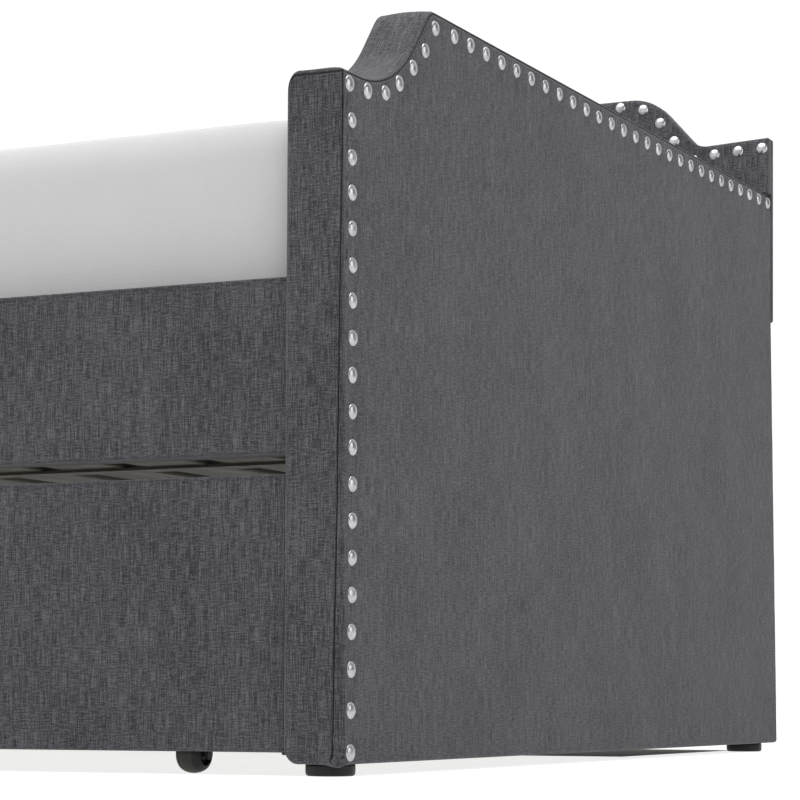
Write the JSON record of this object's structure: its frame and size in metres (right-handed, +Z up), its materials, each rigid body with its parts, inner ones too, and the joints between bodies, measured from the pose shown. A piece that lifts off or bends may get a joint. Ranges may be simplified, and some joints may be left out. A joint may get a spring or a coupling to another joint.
{
  "type": "trundle bed",
  "caption": "Upholstered full-size daybed with curved arms and backrest, slatted base, mattress and a low slatted trundle that rolls out of its front on casters.",
  "frame": {"origin": "on the floor, at the middle of the bed's footprint", "axes": "+X along the bed's length towards its right arm, +Y from the open front to the backrest, +Z up"},
  "size_m": [2.08, 1.5146, 1.042],
  "materials": {
    "upholstery": "matte",
    "ticking": "matte",
    "plywood": "matte",
    "slat_wood": "matte",
    "foot_plastic": "satin",
    "wheel_plastic": "satin",
    "black_steel": "satin",
    "nailhead_metal": "polished"
  },
  "bodies": {
    "daybed": {"arm_left_frame": "plywood", "arm_left_cover": "upholstery", "arm_right_frame": "plywood", "arm_right_cover": "upholstery", "back_frame": "plywood", "back_cover": "upholstery", "back_rear_panel": "upholstery", "rear_stretcher": "plywood", "front_rail_board": "plywood", "front_rail_cover": "upholstery", "rail_bracket_left": "black_steel", "rail_bracket_right": "black_steel", "front_ledger": "slat_wood", "rear_ledger": "slat_wood", "slat_tie_batten": "slat_wood", "bed_slat_01": "slat_wood", "bed_slat_02": "slat_wood", "bed_slat_03": "slat_wood", "bed_slat_04": "slat_wood", "bed_slat_05": "slat_wood", "bed_slat_06": "slat_wood", "bed_slat_07": "slat_wood", "bed_slat_08": "slat_wood", "bed_slat_09": "slat_wood", "bed_slat_10": "slat_wood", "bed_slat_11": "slat_wood", "bed_slat_12": "slat_wood", "bed_slat_13": "slat_wood", "mattress": "ticking", "foot_left_front": "foot_plastic", "foot_left_rear": "foot_plastic", "foot_right_front": "foot_plastic", "foot_right_rear": "foot_plastic"},
    "trundle": {"trundle_front_board": "plywood", "trundle_front_cover": "upholstery", "trundle_back_board": "slat_wood", "trundle_side_left": "slat_wood", "trundle_side_right": "slat_wood", "trundle_caster_rail_left": "slat_wood", "trundle_caster_rail_right": "slat_wood", "trundle_ledger_front": "slat_wood", "trundle_ledger_back": "slat_wood", "trundle_center_beam": "slat_wood", "trundle_slat_01": "slat_wood", "trundle_slat_02": "slat_wood", "trundle_slat_03": "slat_wood", "trundle_slat_04": "slat_wood", "trundle_slat_05": "slat_wood", "trundle_slat_06": "slat_wood", "trundle_slat_07": "slat_wood", "trundle_slat_08": "slat_wood", "trundle_slat_09": "slat_wood", "caster_fork_front_left": "black_steel", "caster_fork_front_right": "black_steel", "caster_fork_rear_left": "black_steel", "caster_fork_rear_right": "black_steel"},
    "wheel_front_left": {"caster_wheel_front_left": "wheel_plastic"},
    "wheel_front_right": {"caster_wheel_front_right": "wheel_plastic"},
    "wheel_rear_left": {"caster_wheel_rear_left": "wheel_plastic"},
    "wheel_rear_right": {"caster_wheel_rear_right": "wheel_plastic"}
  },
  "joints": [
    {"name": "trundle_slide", "type": "slide", "parent": "daybed", "child": "trundle", "axis": [0, -1, 0], "range_m": [0, 1.06]},
    {"name": "wheel_front_left_spin", "type": "hinge", "parent": "trundle", "child": "wheel_front_left", "pos_m": [-0.829, -0.69, 0.021], "axis": [1, 0, 0], "continuous": true},
    {"name": "wheel_front_right_spin", "type": "hinge", "parent": "trundle", "child": "wheel_front_right", "pos_m": [0.829, -0.69, 0.021], "axis": [1, 0, 0], "continuous": true},
    {"name": "wheel_rear_left_spin", "type": "hinge", "parent": "trundle", "child": "wheel_rear_left", "pos_m": [-0.829, 0.24, 0.021], "axis": [1, 0, 0], "continuous": true},
    {"name": "wheel_rear_right_spin", "type": "hinge", "parent": "trundle", "child": "wheel_rear_right", "pos_m": [0.829, 0.24, 0.021], "axis": [1, 0, 0], "continuous": true}
  ]
}
